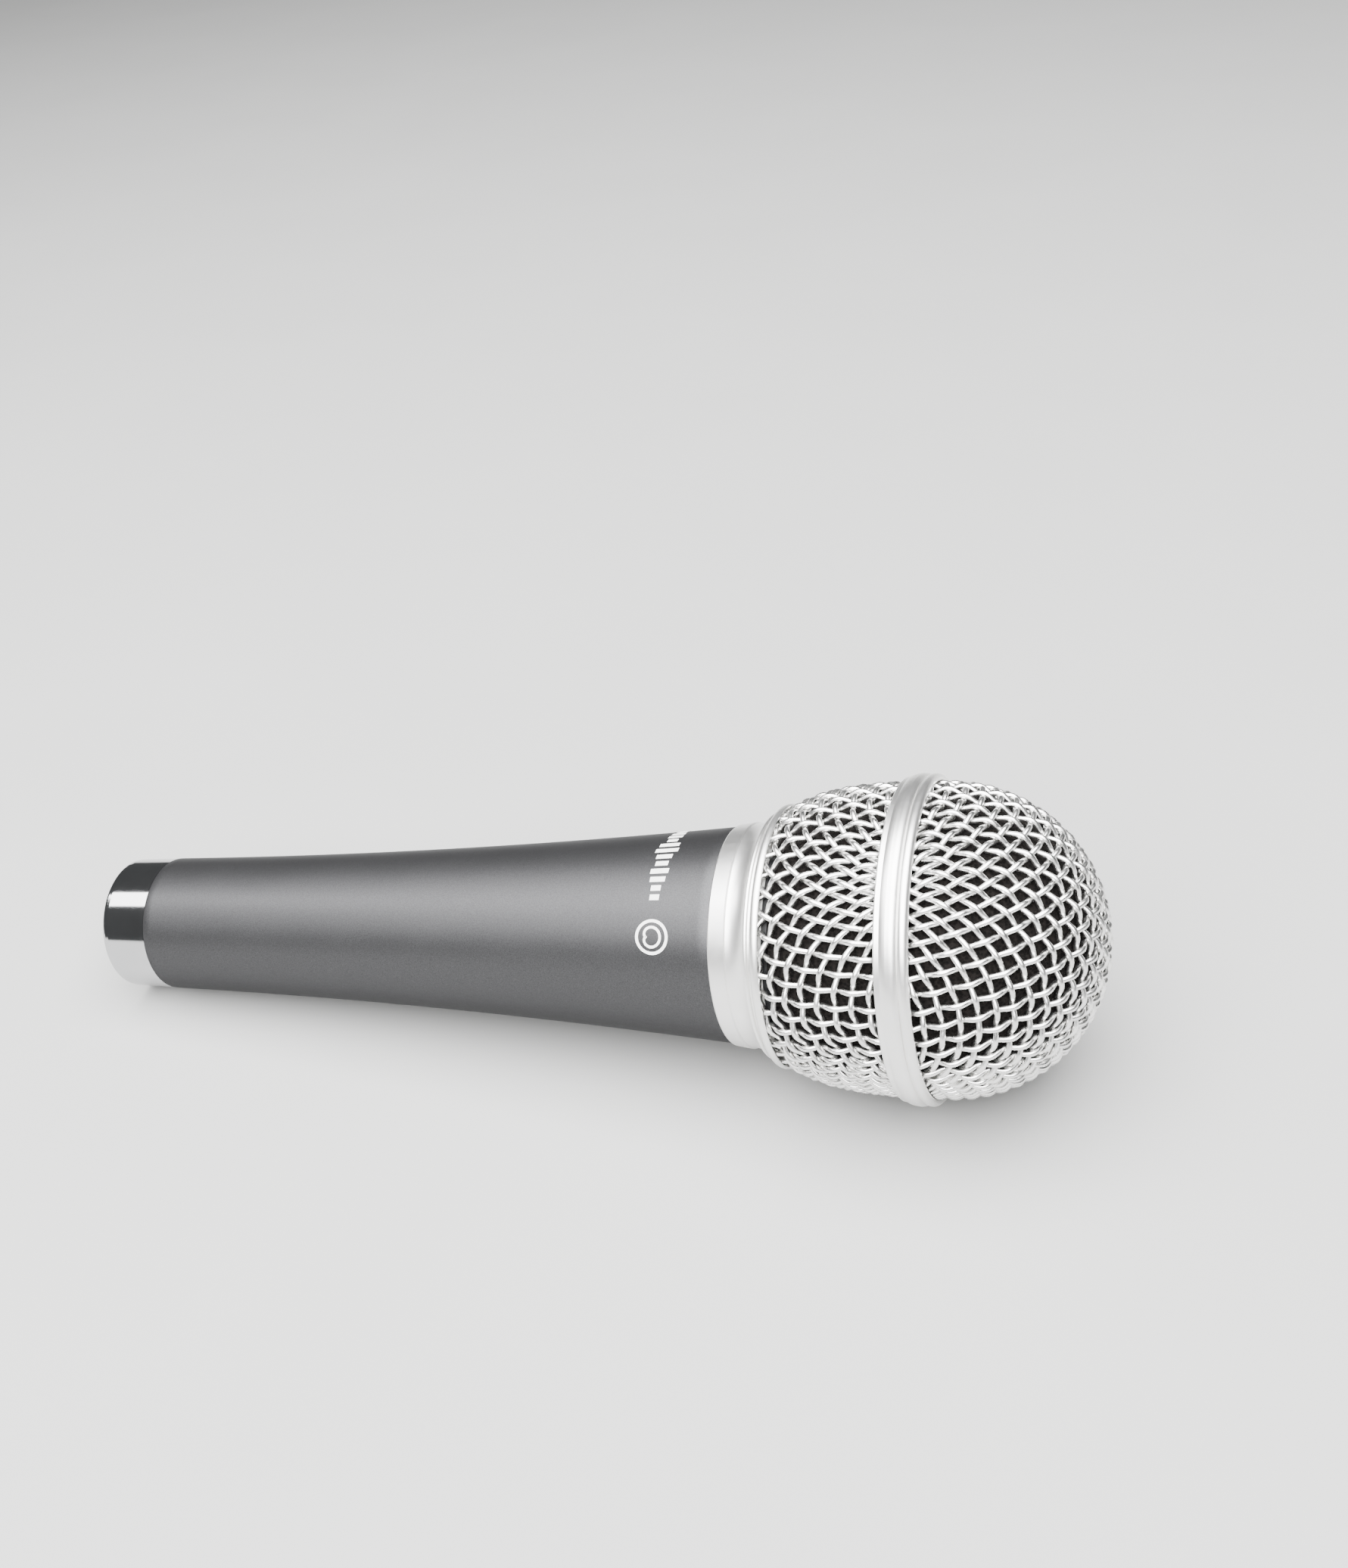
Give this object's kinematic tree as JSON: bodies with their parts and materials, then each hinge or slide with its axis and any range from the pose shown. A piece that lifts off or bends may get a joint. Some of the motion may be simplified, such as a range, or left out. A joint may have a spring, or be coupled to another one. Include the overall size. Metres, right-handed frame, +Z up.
{
  "type": "dynamic microphone",
  "caption": "Handheld dynamic vocal microphone: woven wire ball grille that unscrews from a tapered metal handle, moving coil capsule on a rubber mount, three-pole socket in the tail.",
  "frame": {"origin": "middle of the footprint, on the surface the microphone lies on", "axes": "+X along the surface from the tail towards the ball, +Z up; the microphone's own axis lies in the XZ plane and leans up towards the ball, because it rests on the ball's band and the rim of the tail"},
  "size_m": [0.1754, 0.052, 0.0519],
  "materials": {
    "wire_mesh": "satin plated round wire, woven",
    "satin_nickel": "satin nickel",
    "foam": "open cell foam",
    "black_plastic": "moulded, fine grain",
    "black_rubber": "matte",
    "grey_paint": "satin metallic paint",
    "chrome": "polished",
    "contact_plating": "silver plated brass",
    "spring_steel": "plain",
    "blackened_steel": "blackened",
    "cloth": "fine woven",
    "board": "phenolic board",
    "magnet_plating": "nickel plated magnet",
    "soft_iron": "zinc plated",
    "film": "thin polyester film",
    "coil_wire": "enamelled copper",
    "solder": "tinned",
    "lead_red": "wire insulation",
    "lead_blue": "wire insulation",
    "white_ink": "printed ink"
  },
  "bodies": {
    "microphone": {"handle": "grey_paint", "connector_shell": "chrome", "connector_insert": "black_plastic", "contact_pin_1": "contact_plating", "contact_pin_2": "contact_plating", "contact_pin_3": "contact_plating", "insert_retaining_clip": "spring_steel", "earth_lug": "solder", "insert_grub_screw": "blackened_steel", "shock_mount": "black_rubber", "rear_chamber": "black_plastic", "terminal_board": "board", "capsule_terminals": "solder", "capsule_housing": "black_plastic", "port_cloth": "cloth", "resonator_cap": "black_plastic", "front_cloth": "cloth", "yoke": "soft_iron", "motor_screws": "spring_steel", "magnet": "magnet_plating", "pole_piece": "soft_iron", "lead_hot": "lead_red", "lead_cold": "lead_blue"},
    "ball_lift": {"collar_oring": "black_rubber"},
    "ball_advance": {"foam_retaining_ring": "black_plastic"},
    "ball": {"grille_dome": "wire_mesh", "grille_bowl": "wire_mesh", "grille_band": "satin_nickel", "grille_collar": "satin_nickel", "foam_windscreen": "foam"},
    "moving_coil": {"voice_coil": "coil_wire", "diaphragm": "film"}
  },
  "joints": [
    {"name": "grille_lift", "type": "slide", "parent": "microphone", "child": "ball_lift", "axis": [0.995, 0, 0.0996], "range_m": [0, 0.06]},
    {"name": "grille_advance", "type": "slide", "parent": "ball_lift", "child": "ball_advance", "axis": [0.995, 0, 0.0996], "range_m": [0, 0.00451]},
    {"name": "grille_turn", "type": "hinge", "parent": "ball_advance", "child": "ball", "pos_m": [0.05908, 0, 0.02591], "axis": [0.995, 0, 0.0996], "range_deg": [0, 1620]},
    {"name": "coil_travel", "type": "slide", "parent": "microphone", "child": "moving_coil", "axis": [0.995, 0, 0.0996], "range_m": [-0.00025, 0.00025], "stiffness_N_per_m": 900}
  ],
  "couplings": [
    {"joint": "grille_advance", "follows": "grille_turn", "m_per_rad": 0.00015915}
  ]
}
